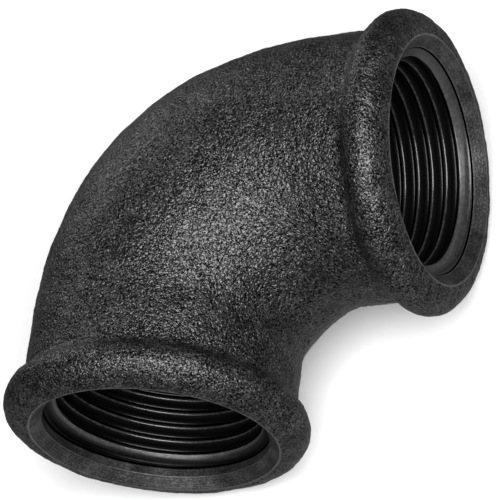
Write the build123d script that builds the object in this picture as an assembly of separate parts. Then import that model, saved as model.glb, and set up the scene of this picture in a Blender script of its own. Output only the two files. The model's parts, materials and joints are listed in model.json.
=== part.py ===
from build123d import *
from build123d.topology import SkipClean
import math
import os

# Beaded malleable-iron 90 degree elbow with two equal female pipe threads, size 3/4 inch (DN 20).
# It is one casting, machined at its two mouths. Port X opens along +X and port Y along -Y, so the
# elbow lies on its side and +Z is square to the plane of the bend. It is built round the point where
# the two port axes cross, then moved so that the origin is the middle of its underside.

# Thread, Rp 3/4: 14 threads to the inch, 55 degree flanks
MINOR_RADIUS = 24.117 / 2
MAJOR_RADIUS = 26.441 / 2
PITCH = 25.4 / 14
FLANK_ANGLE = 55 / 2
ROOT_FLAT = PITCH / 6
THREAD_DEPTH = 14.9
SOCKET_DEPTH = 16.5

# Overall sizes
CENTRE_TO_FACE = 33.0
BODY_RADIUS = 16.1
WALL = 2.8

# Bend: the section swells and moves outwards a little towards its middle
BEND_RADIUS = 21.3
BEND_SWELL = 0.85
BEND_SHIFT = 0.35
BEND_STEPS = 8

# Bead: half an ellipse round each mouth, blended into the body behind it
BEAD_HALF_WIDTH = 2.8
BEAD_HEIGHT = 3.38
BEAD_CENTRE_RADIUS = 14.67
BEAD_FILLET = 1.3

# Machined mouths: a 45 degree chamfer, a plain relief that ends in a fine notch, and a 45 degree
# lead-in cone which starts a little inside the relief
EDGE_RADIUS = BEAD_CENTRE_RADIUS
RELIEF_RADIUS = 13.4
NOTCH_WIDTH = 0.22
NOTCH_DEPTH = 0.18
LEAD_IN_RADIUS = 13.15
THREAD_OVERRUN = 0.5

# Each port: its frame has local +Z out of the mouth, and its relief is as deep as it was cut
PORT_X = Plane(origin=(0, 0, 0), x_dir=(0, 1, 0), z_dir=(1, 0, 0))
PORT_Y = Plane(origin=(0, 0, 0), x_dir=(-1, 0, 0), z_dir=(0, -1, 0))
PORTS = [(PORT_X, 1.5), (PORT_Y, 2.5)]


def bend(radius):
    """The quarter bend as a loft of circles, which grow from the given radius to the middle."""
    sections = []
    for step in range(BEND_STEPS + 1):
        angle = math.radians(90 * step / BEND_STEPS)
        middle = math.sin(2 * angle) ** 2
        reach = BEND_RADIUS + BEND_SHIFT * middle
        centre = (BEND_RADIUS - reach * math.sin(angle), -BEND_RADIUS + reach * math.cos(angle), 0)
        along = (-math.cos(angle), -math.sin(angle), 0)
        section = Plane(origin=centre, x_dir=(0, 0, 1), z_dir=along)
        sections.append(section * Circle(radius + BEND_SWELL * middle))
    return loft(sections)


def rod(radius, bottom, top):
    """A cylinder about local Z between two heights."""
    return Pos(0, 0, bottom) * Cylinder(
        radius, top - bottom, align=(Align.CENTER, Align.CENTER, Align.MIN)
    )


def socket_skin():
    """A socket's outer shape, solid, from the end of the bend to the beaded mouth."""
    bead_centre = CENTRE_TO_FACE - BEAD_HALF_WIDTH
    oval = Pos(BEAD_CENTRE_RADIUS, bead_centre) * Ellipse(BEAD_HEIGHT, BEAD_HALF_WIDTH)
    hub = Pos(0, bead_centre - BEAD_HALF_WIDTH) * Rectangle(
        BEAD_CENTRE_RADIUS, 2 * BEAD_HALF_WIDTH, align=(Align.MIN, Align.MIN)
    )
    skin = rod(BODY_RADIUS, BEND_RADIUS, bead_centre) + revolve(Plane.XZ * (oval + hub), Axis.Z)
    rings = [edge for edge in skin.edges() if edge.bounding_box().size.Z < 0.01]
    valley = [ring for ring in rings if BEND_RADIUS + 1 < ring.center().Z < bead_centre]
    return fillet(valley, BEAD_FILLET)


def core():
    """The cast passage between the sockets: the bend inside its wall, stopped at the socket ends."""
    reach = CENTRE_TO_FACE - SOCKET_DEPTH
    room = 4 * BODY_RADIUS
    corner = (Align.MAX, Align.MIN, Align.CENTER)
    return bend(BODY_RADIUS - WALL) & Pos(reach, -reach, 0) * Box(room, room, room, align=corner)


def thread_groove(relief_depth):
    """The right-hand helical groove of the female thread, which cuts outwards from the bore."""
    inside = 0.12
    depth = MAJOR_RADIUS - MINOR_RADIUS
    root_half = ROOT_FLAT / 2
    mouth_half = root_half + (depth + inside) * math.tan(math.radians(FLANK_ANGLE))
    bottom = CENTRE_TO_FACE - THREAD_DEPTH + mouth_half
    top = CENTRE_TO_FACE - relief_depth + THREAD_OVERRUN
    path = Pos(0, 0, bottom) * Helix(pitch=PITCH, height=top - bottom, radius=MINOR_RADIUS)
    section = Plane(origin=path @ 0, x_dir=(1, 0, 0), z_dir=path % 0)
    outline = Polyline(
        (-inside, -mouth_half), (depth, -root_half), (depth, root_half), (-inside, mouth_half), close=True
    )
    return sweep(section * make_face(outline), path=path, is_frenet=True)


def mouth(relief_depth):
    """The turned opening in front of the thread: chamfer, relief, notch and lead-in cone."""
    chamfer_end = CENTRE_TO_FACE - (EDGE_RADIUS - RELIEF_RADIUS)
    relief_end = CENTRE_TO_FACE - relief_depth
    tip_radius = MINOR_RADIUS - 0.5
    tip = relief_end - (LEAD_IN_RADIUS - tip_radius)
    outline = Polyline(
        (0, CENTRE_TO_FACE + 1),
        (EDGE_RADIUS + 1, CENTRE_TO_FACE + 1),
        (RELIEF_RADIUS, chamfer_end),
        (RELIEF_RADIUS, relief_end + NOTCH_WIDTH),
        (RELIEF_RADIUS + NOTCH_DEPTH, relief_end + NOTCH_WIDTH / 2),
        (LEAD_IN_RADIUS, relief_end),
        (tip_radius, tip),
        (0, tip),
        close=True,
    )
    return revolve(Plane.XZ * make_face(outline), Axis.Z)


def elbow_casting():
    """The whole casting, built round the crossing of the port axes."""
    body = bend(BODY_RADIUS)
    for port, _ in PORTS:
        body += port * socket_skin()
    body -= core()
    for port, relief_depth in PORTS:
        body -= port * rod(MINOR_RADIUS, CENTRE_TO_FACE - SOCKET_DEPTH, CENTRE_TO_FACE)
        body -= port * thread_groove(relief_depth)
        body -= port * mouth(relief_depth)
    upper = split(body, bisect_by=Plane.XY, keep=Keep.TOP)
    lower = split(body, bisect_by=Plane.XY, keep=Keep.BOTTOM)
    # Joined without merging faces, so the parting line of the two mould halves stays as an edge
    with SkipClean():
        return upper + lower


os.makedirs("parts", exist_ok=True)
bead_outside = BEAD_CENTRE_RADIUS + BEAD_HEIGHT
midway = (CENTRE_TO_FACE - bead_outside) / 2
casting = Pos(-midway, midway, bead_outside) * elbow_casting()
casting.label = "elbow_casting"
export_step(casting, "parts/elbow_casting.step")
print("volume", round(casting.volume), "mm3, mass", round(casting.volume * 0.0072, 1), "g")
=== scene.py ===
import json
import math

import bpy
import numpy as np
from mathutils import Matrix, Vector, noise


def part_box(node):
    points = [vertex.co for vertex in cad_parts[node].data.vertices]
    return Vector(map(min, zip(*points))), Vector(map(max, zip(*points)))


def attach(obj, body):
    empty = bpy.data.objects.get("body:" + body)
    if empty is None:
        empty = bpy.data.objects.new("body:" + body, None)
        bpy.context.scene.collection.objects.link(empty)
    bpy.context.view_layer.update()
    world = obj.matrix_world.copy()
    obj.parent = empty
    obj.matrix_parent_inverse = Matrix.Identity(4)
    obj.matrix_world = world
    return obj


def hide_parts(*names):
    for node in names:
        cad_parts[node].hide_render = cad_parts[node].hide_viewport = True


# A black malleable-iron pipe elbow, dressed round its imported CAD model. The CAD casting is replaced by
# one closed mesh of the same size, which adds the rough cast skin, the turned mouths and the full
# thread form. Sizes are in millimetres round the crossing of the two port axes, and turn into metres
# in the row frame when the mesh is made.

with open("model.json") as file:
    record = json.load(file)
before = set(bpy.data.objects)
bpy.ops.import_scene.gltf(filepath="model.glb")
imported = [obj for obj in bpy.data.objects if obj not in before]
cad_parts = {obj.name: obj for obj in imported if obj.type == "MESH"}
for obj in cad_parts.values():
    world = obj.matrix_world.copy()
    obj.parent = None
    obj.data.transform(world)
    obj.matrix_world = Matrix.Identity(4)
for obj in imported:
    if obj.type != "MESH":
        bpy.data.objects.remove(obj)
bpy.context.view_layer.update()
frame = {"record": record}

MM = 0.001

# The CAD casting: where the axes cross, how far the mouths are, and how far out the beads reach
ports = {mount["name"]: mount for mount in frame["record"]["mounts"]}
low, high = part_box("elbow_casting")
CROSSING = np.array([ports["port_y"]["pos_m"][0], *ports["port_x"]["pos_m"][1:]]) / MM
FACE = high.x / MM - CROSSING[0]
BEAD_OUTSIDE = CROSSING[0] - low.x / MM
MINOR_RADIUS = ports["port_x"]["dims"]["r_mm"]

# Outside
BODY_RADIUS = 16.1
BEND_RADIUS = 21.3
BEND_SWELL = 0.85
BEND_SHIFT = 0.35
BEAD_HALF_WIDTH = 2.8
BEAD_HEIGHT = 3.38
BEAD_CENTRE_RADIUS = BEAD_OUTSIDE - BEAD_HEIGHT
BEAD_FILLET = 1.3

# Inside
WALL = 2.8
SOCKET_DEPTH = 16.5
RELIEF_RADIUS = 13.4
RELIEF_START = FACE - (BEAD_CENTRE_RADIUS - RELIEF_RADIUS)
NOTCH_WIDTH = 0.22
NOTCH_DEPTH = 0.18
LEAD_IN_RADIUS = 13.15
PITCH = 25.4 / 14
THREAD_HEIGHT = 1.162
THREAD_SHARPNESS = 0.85
THREAD_DEPTH = 14.9
EDGE_EASE = 0.03
EDGE_LAND = 0.2

# How bright the painted highlight lines on the mouth's edge and on the corner between chamfer and relief
# are, on the scale of the thread's crests, how far out from the thread's crests the lead-in's bright
# first band reaches before its painted shade starts, and over how much of a pitch the lead-in fades
# where it dies out
EDGE_HIGHLIGHT = 1.0
CORNER_HIGHLIGHT = 0.95
BRIGHT_BAND = 0.25
LEAD_IN_FADE = 0.2

# Each port: its ring frame, relief depth, and the depth of one thread crest at a given turn round the
# ring. The hand is how a crest's depth changes with the turn, for a right-hand thread seen from there.
# The last value is how fast the lead-in is painted darker with its depth in millimetres, outside its
# bright first band: painted shade, set for each port.
PORT_X = {
    "along": (1, 0, 0),
    "outer": (0, 1, 0),
    "relief": 1.5,
    "crest": 4.28,
    "turn": 283,
    "hand": -1,
    "depth_shade": 0.25,
}
PORT_Y = {
    "along": (0, -1, 0),
    "outer": (-1, 0, 0),
    "relief": 2.5,
    "crest": 5.28,
    "turn": 280,
    "hand": 1,
    "depth_shade": 1.3,
}

# Mesh: points round each ring, and the largest steps along the casting
AROUND = 336
SKIN_STEP = 0.3
MOUTH_STEP = 0.07
THREAD_STEP = PITCH / 18
CORE_STEP = 1.2

# Zones of the surface, which are also its material slots
SKIN, TURNED, BAND, THREAD, CORE = range(5)

# Cast skin relief: lumps by size and height, half of it each side of the CAD surface
LUMP_SIZES = [(3.4, 0.12), (1.2, 0.04), (0.6, 0.07)]

turns = np.linspace(0, 2 * math.pi, AROUND, endpoint=False)


def spaced(outline, step):
    """Points evenly along an outline, no further apart than step, with both ends kept."""
    outline = np.asarray(outline, float)
    lengths = np.linalg.norm(np.diff(outline, axis=0), axis=1)
    travelled = np.concatenate([[0], np.cumsum(lengths)])
    count = math.ceil(travelled[-1] / step) + 1
    places = np.linspace(0, travelled[-1], count)
    return np.column_stack([np.interp(places, travelled, outline[:, axis]) for axis in (0, 1)])


def divided(outline, step):
    """The points of an outline and more between them, so that none are further apart than step."""
    points = [outline[0]]
    for start, end in zip(outline, outline[1:]):
        count = math.ceil(np.linalg.norm(end - start) / step)
        points += [start + (end - start) * part / count for part in range(1, count + 1)]
    return points


def eased(outline, reach):
    """An outline with each inner corner replaced by a small round of three points."""
    outline = np.asarray(outline, float)
    points = [outline[0]]
    for before, corner, after in zip(outline, outline[1:], outline[2:]):
        start = corner + reach * (before - corner) / np.linalg.norm(before - corner)
        end = corner + reach * (after - corner) / np.linalg.norm(after - corner)
        points += [start, (start + 2 * corner + end) / 4, end]
    return np.array(points + [outline[-1]])


def socket_outline():
    """The outside as (distance, radius): over the bead, down the valley behind it and on to the bend."""
    turn = np.linspace(0, math.pi, 721)
    bead = np.column_stack(
        [
            FACE - BEAD_HALF_WIDTH + BEAD_HALF_WIDTH * np.cos(turn),
            BEAD_CENTRE_RADIUS + BEAD_HEIGHT * np.sin(turn),
        ]
    )
    normal = np.column_stack([np.cos(turn) / BEAD_HALF_WIDTH, np.sin(turn) / BEAD_HEIGHT])
    normal /= np.linalg.norm(normal, axis=1)[:, None]
    ball = bead + BEAD_FILLET * normal
    touch = np.argmax((turn > math.pi / 2) & (ball[:, 1] < BODY_RADIUS + BEAD_FILLET))
    start = math.atan2(-normal[touch, 1], -normal[touch, 0])
    sweep = np.linspace(start, -math.pi / 2, 40)
    valley = ball[touch] + BEAD_FILLET * np.column_stack([np.cos(sweep), np.sin(sweep)])
    return np.vstack([bead[: touch + 1], valley[1:], [[BEND_RADIUS, BODY_RADIUS]]])


def cone_end(port):
    """Distance from the crossing at which the lead-in cone meets the bore."""
    return FACE - port["relief"] - (LEAD_IN_RADIUS - MINOR_RADIUS)


def mouth_outline(port):
    """The turned mouth from its edge inwards: chamfer, relief, notch and lead-in cone."""
    edge = BEAD_CENTRE_RADIUS
    relief_end = FACE - port["relief"]
    corners = [
        (FACE, edge),
        (RELIEF_START, RELIEF_RADIUS),
        (relief_end + NOTCH_WIDTH, RELIEF_RADIUS),
        (relief_end + NOTCH_WIDTH / 2, RELIEF_RADIUS + NOTCH_DEPTH),
        (relief_end, LEAD_IN_RADIUS),
        (cone_end(port), MINOR_RADIUS),
    ]
    return divided(eased(corners, EDGE_EASE / 2), MOUTH_STEP)


def thread_phase(port, distance):
    """How many pitches inside a crest a distance from the crossing is, for every turn round the ring."""
    lead = port["hand"] * (turns - math.radians(port["turn"])) / (2 * math.pi)
    return (FACE - distance - port["crest"]) / PITCH - lead


def thread_radius(port, distance):
    """Radius of the threaded wall at a distance from the crossing, for every turn round the ring."""
    form = (0.5 - 0.5 * np.cos(2 * math.pi * thread_phase(port, distance))) ** THREAD_SHARPNESS
    fade = np.clip((THREAD_DEPTH - FACE + distance) / PITCH, 0, 1)
    return MINOR_RADIUS + THREAD_HEIGHT * form * fade


class Rings:
    """The closed chain of rings that makes the casting, in order along its surface."""

    def __init__(self):
        self.points = []
        self.zones = []
        self.crests = []
        self.lathe = []
        self.travelled = 0.0

    def add_ring(self, ring, zone, crest):
        if self.points:
            self.travelled += float(np.linalg.norm(ring - self.points[-1], axis=1).mean())
        self.points.append(ring)
        self.zones.append(np.broadcast_to(zone, turns.shape))
        self.crests.append(np.broadcast_to(crest, turns.shape))
        self.lathe.append(self.travelled)

    def add(self, centre, outer, radius, zone, crest):
        radius = np.broadcast_to(radius, turns.shape)
        ring = np.array(centre, float) + (radius * np.cos(turns))[:, None] * np.array(outer, float)
        ring[:, 2] += radius * np.sin(turns)
        self.add_ring(ring, zone, crest)


def add_socket_skin(rings, port, inwards):
    """The outside of a socket. The ring at the mouth's edge and the land next to it are painted bright,
    as a highlight line.
    """
    edge, *skin = spaced(socket_outline(), SKIN_STEP)
    land = edge + (skin[0] - edge) * EDGE_LAND / SKIN_STEP
    # Painted highlight: the mouth's edge gets the lead-in's bright material at the edge highlight's
    # brightness.
    outline = [(edge, BAND, EDGE_HIGHLIGHT), (land, SKIN, EDGE_HIGHLIGHT)]
    outline += [(point, SKIN, 1) for point in skin]
    for (distance, radius), zone, crest in outline if inwards else outline[::-1]:
        rings.add(distance * np.array(port["along"]), port["outer"], radius, zone, crest)


def add_bend_skin(rings):
    """The outside of the quarter bend, which swells and moves outwards towards its middle."""
    count = math.ceil(math.pi / 2 * BEND_RADIUS / SKIN_STEP)
    for angle in np.linspace(0, math.pi / 2, count + 1)[1:-1]:
        middle = math.sin(2 * angle) ** 2
        reach = BEND_RADIUS + BEND_SHIFT * middle
        outer = (-math.sin(angle), math.cos(angle), 0)
        centre = (BEND_RADIUS + reach * outer[0], -BEND_RADIUS + reach * outer[1], 0)
        rings.add(centre, outer, BODY_RADIUS + BEND_SWELL * middle, SKIN, 1)


def lead_in_share(port, distance):
    """How bright the lead-in still is, for every turn round the ring.

    It goes on past its cone down the nearest flank as far as the first whole crest, and dies out over
    LEAD_IN_FADE of a pitch where that crest is more than half a pitch further in.
    """
    past_cone = (cone_end(port) - distance) / PITCH
    if past_cone < 0:
        return np.ones(turns.shape)
    to_crest = -thread_phase(port, distance) % 1
    return np.clip((0.5 - past_cone - to_crest) / LEAD_IN_FADE, 0, 1)


def mouth_zones(port, distance):
    """What each point round a ring of the socket is: turned mouth, bright lead-in or oiled thread.

    The corner between chamfer and relief is painted bright as a highlight line, and the notch is painted
    black as shade.
    """
    relief_end = FACE - port["relief"]
    # Painted highlight: the corner between chamfer and relief gets the lead-in's bright material.
    if abs(distance - RELIEF_START) < EDGE_EASE:
        return np.full(turns.shape, BAND)
    if distance > relief_end + NOTCH_WIDTH - EDGE_EASE:
        return np.full(turns.shape, TURNED)
    # Painted shade: the notch gets the black thread material.
    if distance > relief_end + EDGE_EASE:
        return np.full(turns.shape, THREAD)
    return np.where(lead_in_share(port, distance) > 0, BAND, THREAD)


def crest_heights(port, distance, radii, zones):
    """From 1 at a thread's crest down to 0 at its root. In the lead-in it falls with depth instead, as
    painted shade, and the corner between chamfer and relief is held bright as a painted highlight.
    """
    # Painted highlight line on the corner between chamfer and relief.
    if distance > RELIEF_START - EDGE_EASE:
        return CORNER_HIGHLIGHT
    depths = radii - MINOR_RADIUS
    # Painted shade: past its bright first band the lead-in darkens with depth, by the port's own amount.
    painted_depth_shade = port["depth_shade"] * np.clip(depths - BRIGHT_BAND, 0, None)
    lead_in = lead_in_share(port, distance) * (1 - painted_depth_shade)
    return np.where(zones == BAND, lead_in, 1 - depths / THREAD_HEIGHT)


def inside_rings(port):
    """A socket's inner surface from the mouth inwards, as (distance, radii, zones, crest heights)."""
    outline = mouth_outline(port)
    socket_end = FACE - SOCKET_DEPTH
    threaded = np.arange(outline[-1][0] - THREAD_STEP, socket_end, -THREAD_STEP)
    found = []
    for distance, plain_radius in [*outline, *((place, MINOR_RADIUS) for place in threaded)]:
        radii = np.maximum(plain_radius, thread_radius(port, distance))
        zones = mouth_zones(port, distance)
        found.append((distance, radii, zones, crest_heights(port, distance, radii, zones)))
    found.append((socket_end, MINOR_RADIUS, THREAD, 1))
    return found


def add_core(rings):
    """The cored passage, as rings fanned out between the flat ends of the two sockets."""
    count = math.ceil(BEND_RADIUS * math.pi / 2 / CORE_STEP)
    reach = BEND_RADIUS - FACE + SOCKET_DEPTH
    for part in np.arange(count, -1, -1) / count:
        middle = math.sin(math.pi * part) ** 2
        radius = BODY_RADIUS - WALL + BEND_SWELL * middle
        bend = BEND_RADIUS + BEND_SHIFT * middle + radius * np.cos(turns)
        start = np.arcsin(reach / bend)
        angle = start + (math.pi / 2 - 2 * start) * part
        ring = np.column_stack(
            [
                BEND_RADIUS - bend * np.sin(angle),
                bend * np.cos(angle) - BEND_RADIUS,
                radius * np.sin(turns),
            ]
        )
        rings.add_ring(ring, CORE, 1)


def casting_rings():
    """Every ring in one closed round: out over the casting and back through its passage."""
    rings = Rings()
    add_socket_skin(rings, PORT_X, inwards=True)
    add_bend_skin(rings)
    add_socket_skin(rings, PORT_Y, inwards=False)
    for distance, *ring in inside_rings(PORT_Y)[1:]:
        rings.add(distance * np.array(PORT_Y["along"]), PORT_Y["outer"], *ring)
    add_core(rings)
    for distance, *ring in inside_rings(PORT_X)[:0:-1]:
        rings.add(distance * np.array(PORT_X["along"]), PORT_X["outer"], *ring)
    return rings


def skin_relief(points, zones):
    """How far each point of the cast skin stands off the CAD surface: lumps of three sizes."""
    relief = np.zeros(points.shape[:2])
    for row, column in np.argwhere(zones == SKIN):
        place = Vector(points[row, column])
        relief[row, column] = sum(height * noise.noise(place / size) for size, height in LUMP_SIZES)
    return relief


def casting_mesh():
    """The casting as one closed grid of rings, with its zones as material slots."""
    rings = casting_rings()
    points = np.array(rings.points)
    zones = np.array(rings.zones)
    along = np.roll(points, -1, axis=0) - np.roll(points, 1, axis=0)
    across = np.roll(points, -1, axis=1) - np.roll(points, 1, axis=1)
    normals = np.cross(along, across)
    normals /= np.linalg.norm(normals, axis=2, keepdims=True)
    centre = points.mean(axis=1, keepdims=True)
    outwards = np.sign(((points - centre) * normals).sum(axis=2)[zones == SKIN].mean())
    points = points + outwards * normals * skin_relief(points, zones)[..., None]

    count, around = points.shape[:2]
    index = np.arange(count * around).reshape(count, around)
    after = np.roll(index, -1, axis=0)
    quads = np.stack([index, np.roll(index, -1, axis=1), np.roll(after, -1, axis=1), after], axis=2)
    if outwards > 0:
        quads = quads[..., ::-1]
    mesh = bpy.data.meshes.new("elbow_casting_skin")
    places = (points + CROSSING) * MM
    places[..., 2] = np.maximum(places[..., 2], low.z)
    mesh.from_pydata(places.reshape(-1, 3).tolist(), [], quads.reshape(-1, 4).tolist())
    slots = np.maximum(zones, np.roll(zones, -1, axis=0))
    mesh.polygons.foreach_set("material_index", slots.ravel().astype(np.int32))
    mesh.polygons.foreach_set("use_smooth", np.ones(count * around, bool))
    for name, values in (("lathe", np.repeat(rings.lathe, around)), ("crest", np.ravel(rings.crests))):
        attribute = mesh.attributes.new(name, "FLOAT", "POINT")
        attribute.data.foreach_set("value", values.astype(np.float32))
    mesh.update()
    return mesh


class Paint:
    """A node material with helpers for textures laid out in millimetres."""

    def __init__(self, name, metallic, specular):
        self.material = bpy.data.materials.new(name)
        self.material.use_nodes = True
        self.tree = self.material.node_tree
        self.shader = self.tree.nodes["Principled BSDF"]
        self.shader.inputs["Metallic"].default_value = metallic
        self.shader.inputs["Specular IOR Level"].default_value = specular
        coordinates = self.node("ShaderNodeTexCoord")
        scale = self.node("ShaderNodeVectorMath", operation="SCALE")
        scale.inputs["Scale"].default_value = 1 / MM
        self.link(coordinates.outputs["Object"], scale.inputs[0])
        self.space = scale.outputs[0]

    def node(self, kind, **settings):
        made = self.tree.nodes.new(kind)
        for key, value in settings.items():
            setattr(made, key, value)
        return made

    def link(self, source, target):
        self.tree.links.new(source, target)

    def grain(self, size, detail=2.0, distortion=0.0):
        """Noise with features of a size in millimetres."""
        made = self.node("ShaderNodeTexNoise")
        made.inputs["Scale"].default_value = 1 / size
        made.inputs["Detail"].default_value = detail
        made.inputs["Distortion"].default_value = distortion
        self.link(self.space, made.inputs["Vector"])
        return made.outputs["Fac"]

    def attribute(self, name):
        return self.node("ShaderNodeAttribute", attribute_name=name).outputs["Fac"]

    def turned(self, size):
        """Noise that changes only along the lathe's travel, in rings round the port."""
        made = self.node("ShaderNodeTexNoise", noise_dimensions="1D")
        made.inputs["Scale"].default_value = 1 / size
        made.inputs["Detail"].default_value = 3.0
        self.link(self.attribute("lathe"), made.inputs["W"])
        return made.outputs["Fac"]

    def blend(self, first, second, share):
        """Two values mixed, with that share of the second."""
        made = self.node("ShaderNodeMix")
        made.inputs["Factor"].default_value = share
        self.link(first, made.inputs["A"])
        self.link(second, made.inputs["B"])
        return made.outputs["Result"]

    def spread(self, source, from_low, from_high, to_low, to_high):
        """One range of a value stretched over another."""
        made = self.node("ShaderNodeMapRange")
        made.inputs["From Min"].default_value = from_low
        made.inputs["From Max"].default_value = from_high
        made.inputs["To Min"].default_value = to_low
        made.inputs["To Max"].default_value = to_high
        self.link(source, made.inputs["Value"])
        return made.outputs["Result"]

    def ramp(self, factor, stops):
        """Greys which follow a value, from (place, grey) stops in rising order."""
        made = self.node("ShaderNodeValToRGB")
        while len(made.color_ramp.elements) < len(stops):
            made.color_ramp.elements.new(0.5)
        for element, (place, grey) in zip(made.color_ramp.elements, stops):
            element.position = place
            element.color = (grey, grey, grey, 1)
        self.link(factor, made.inputs["Fac"])
        return made.outputs["Color"]

    def set(self, name, source):
        self.link(source, self.shader.inputs[name])

    def rough(self, source, low_roughness, high_roughness):
        self.set("Roughness", self.spread(source, 0.3, 0.7, low_roughness, high_roughness))

    def bump(self, layers):
        """Stacks bumps, each (height source, depth in millimetres)."""
        normal = None
        for source, depth in layers:
            made = self.node("ShaderNodeBump")
            made.inputs["Strength"].default_value = 1.0
            made.inputs["Distance"].default_value = depth * MM
            self.link(source, made.inputs["Height"])
            if normal:
                self.link(normal, made.inputs["Normal"])
            normal = made.outputs["Normal"]
        self.link(normal, self.shader.inputs["Normal"])


def skin_material():
    """Black oiled casting skin: a fine pebbled grain with dull pits between, over faint broad stains.
    Its colour is painted darker in the pits and in the low spots of the grain, as shade.
    """
    paint = Paint("cast_skin", 0.0, 0.5)
    pebbles = paint.grain(0.34, 1, 0.7)
    shaded_pits = paint.grain(0.2, 0, 0.5)
    # Painted shade: the colour follows the pebbled bump and the pits, darker in their hollows, over the
    # broad stains.
    tone = paint.blend(paint.blend(paint.grain(2.5, 4), pebbles, 0.6), shaded_pits, 0.4)
    paint.set("Base Color", paint.ramp(tone, [(0.36, 0.0), (0.5, 0.008), (0.64, 0.045)]))
    paint.set("Specular IOR Level", paint.spread(shaded_pits, 0.32, 0.62, 0.05, 0.87))
    paint.rough(paint.grain(1.2, 3), 0.26, 0.34)
    paint.bump([(pebbles, 0.22), (paint.grain(0.9, 1), 0.08)])
    return paint.material


def turned_material():
    """The turned chamfer and relief: dull bare iron, darkened by oil, with faint tool rings."""
    paint = Paint("turned_iron", 0.6, 0.5)
    fine = paint.blend(paint.turned(0.15), paint.grain(0.25, 2), 0.65)
    tone = paint.blend(fine, paint.grain(2.5, 2), 0.35)
    paint.set("Base Color", paint.ramp(tone, [(0.38, 0.015), (0.5, 0.042), (0.62, 0.1)]))
    paint.rough(paint.grain(1.5, 3), 0.3, 0.45)
    paint.bump([(paint.turned(0.15), 0.008), (paint.grain(0.25, 2), 0.06)])
    return paint.material


def lead_in_material():
    """The lead-in cone and the flank below it, brighter than the rest and painted darker with depth as
    shade, and the painted highlight lines on the mouth's edge and the chamfer's corner.
    """
    paint = Paint("lead_in_iron", 0.8, 0.5)
    streaks = paint.blend(paint.turned(0.1), paint.grain(0.5, 3), 0.5)
    # The crest attribute carries painted highlight on the edge and corner lines and painted shade on the
    # lead-in.
    tone = paint.blend(streaks, paint.attribute("crest"), 0.6)
    greys = [(0.25, 0.005), (0.6, 0.05), (0.78, 0.14), (0.88, 0.26), (1, 0.5)]
    paint.set("Base Color", paint.ramp(tone, greys))
    paint.rough(paint.grain(0.5, 3), 0.28, 0.45)
    paint.bump([(paint.turned(0.1), 0.015), (paint.grain(0.3, 2), 0.01)])
    return paint.material


def thread_material():
    """Oiled black threads: dull on the flanks, with a wet gloss along the crests and near the roots. The
    colour is painted lighter at the crests as highlight and darker towards the roots as shade.
    """
    paint = Paint("oiled_thread", 0.0, 0.35)
    crest = paint.attribute("crest")
    # Painted highlight along the crests and painted shade towards the roots, with a little random grain.
    painted_crest_light_and_grain = paint.blend(crest, paint.grain(0.6, 3), 0.2)
    paint.set("Base Color", paint.ramp(painted_crest_light_and_grain, [(0.3, 0.0005), (0.8, 0.004), (0.89, 0.035)]))
    gloss = [(0, 0.02), (0.05, 0.6), (0.2, 0.4), (0.35, 0.06), (0.88, 0.12), (0.97, 1)]
    paint.set("Specular IOR Level", paint.ramp(crest, gloss))
    paint.set("Roughness", paint.ramp(crest, [(0, 0.25), (0.4, 0.5), (0.85, 0.35), (0.97, 0.2)]))
    paint.bump([(paint.grain(0.35, 2), 0.012)])
    return paint.material


def core_material():
    """The cored passage: rough black casting skin that no tool has touched."""
    paint = Paint("cored_passage", 0.0, 0.4)
    paint.set("Base Color", paint.ramp(paint.grain(1.5, 4), [(0.3, 0.015), (0.7, 0.06)]))
    paint.rough(paint.grain(0.8, 3), 0.5, 0.75)
    paint.bump([(paint.grain(0.9, 3, 0.5), 0.2), (paint.grain(0.3, 2), 0.05)])
    return paint.material


def add_casting():
    casting = bpy.data.objects.new("elbow_casting_detailed", casting_mesh())
    bpy.context.scene.collection.objects.link(casting)
    for make in (skin_material, turned_material, lead_in_material, thread_material, core_material):
        casting.data.materials.append(make())
    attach(casting, "root")
    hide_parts("elbow_casting")


# View: the direction the camera looks from, its roll about its own axis, its distance in millimetres
# and lens, and how far its aim is from the crossing of the axes
VIEW_AZIMUTH = 44.2
VIEW_ELEVATION = 52.4
VIEW_ROLL = 43.9
VIEW_DISTANCE = 427.6
VIEW_LENS = 255.9
AIM_RIGHT = 7.34
AIM_UP = -7.22


def view_axes():
    """The camera's right, up and backward directions."""
    azimuth, elevation, roll = (math.radians(a) for a in (VIEW_AZIMUTH, VIEW_ELEVATION, VIEW_ROLL))
    level_right = Vector((math.cos(azimuth), math.sin(azimuth), 0))
    level_back = Vector((math.sin(azimuth), -math.cos(azimuth), 0))
    back = math.cos(elevation) * level_back + math.sin(elevation) * Vector((0, 0, 1))
    unrolled_up = back.cross(level_right)
    right = math.cos(roll) * level_right - math.sin(roll) * unrolled_up
    return right, back.cross(right), back


def add_camera():
    right, up, back = view_axes()
    camera = bpy.data.objects.new("camera", bpy.data.cameras.new("camera"))
    bpy.context.scene.collection.objects.link(camera)
    target = Vector(CROSSING) + AIM_RIGHT * right + AIM_UP * up
    rotation = Matrix((right, up, back)).transposed()
    camera.matrix_world = Matrix.LocRotScale((target + VIEW_DISTANCE * back) * MM, rotation, None)
    camera.data.lens = VIEW_LENS
    camera.data.clip_start = 0.01
    bpy.context.scene.camera = camera


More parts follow.
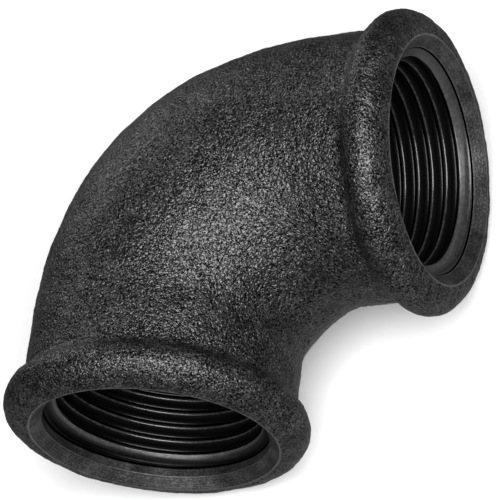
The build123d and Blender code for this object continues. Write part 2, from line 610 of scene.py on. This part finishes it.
def add_light(name, direction, distance, size, power):
    """A square soft light on the elbow from a direction, with distance and size in metres."""
    light = bpy.data.objects.new(name, bpy.data.lights.new(name, "AREA"))
    light.data.shape = "SQUARE"
    light.data.size = size
    light.data.energy = power
    direction = Vector(direction).normalized()
    light.location = Vector(CROSSING) * MM + distance * direction
    light.rotation_euler = direction.to_track_quat("Z", "Y").to_euler()
    bpy.context.scene.collection.objects.link(light)


def add_floor():
    """A plain pale floor which shiny iron doesn't mirror."""
    reach = 3.0
    mesh = bpy.data.meshes.new("floor")
    corners = [(-reach, -reach), (reach, -reach), (reach, reach), (-reach, reach)]
    mesh.from_pydata([(x, y, low.z) for x, y in corners], [], [(0, 1, 2, 3)])
    floor = bpy.data.objects.new("floor", mesh)
    bpy.context.scene.collection.objects.link(floor)
    paint = Paint("floor_paper", 0.0, 0.0)
    paint.shader.inputs["Base Color"].default_value = (0.9, 0.9, 0.9, 1)
    mesh.materials.append(paint.material)
    floor.visible_glossy = False


def add_world():
    """Dim light from all round, which is brighter from straight below."""
    world = bpy.data.worlds.new("studio")
    world.use_nodes = True
    nodes, links = world.node_tree.nodes, world.node_tree.links
    direction = nodes.new("ShaderNodeTexCoord")
    height = nodes.new("ShaderNodeSeparateXYZ")
    glow = nodes.new("ShaderNodeMapRange")
    for key, value in {"From Min": -1, "From Max": -0.3, "To Min": 0.3, "To Max": 0.05}.items():
        glow.inputs[key].default_value = value
    links.new(direction.outputs["Generated"], height.inputs["Vector"])
    links.new(height.outputs["Z"], glow.inputs["Value"])
    links.new(glow.outputs["Result"], nodes["Background"].inputs["Strength"])
    nodes["Background"].inputs["Color"].default_value = (1, 1, 1, 1)
    bpy.context.scene.world = world


def add_lights():
    """A big soft light behind the camera, and weak ones from its lower left and from behind."""
    right, up, back = view_axes()
    add_light("key", back + 0.1 * up, 0.9, 0.85, 18)
    add_light("fill", 0.7 * back - 0.6 * up - 0.45 * right, 0.9, 0.4, 1.2)
    add_light("rim", 0.7 * up - 0.7 * right - 0.6 * back, 0.8, 0.4, 1.0)


add_casting()
add_camera()
add_floor()
add_world()
add_lights()
bpy.context.scene.view_settings.view_transform = "Standard"
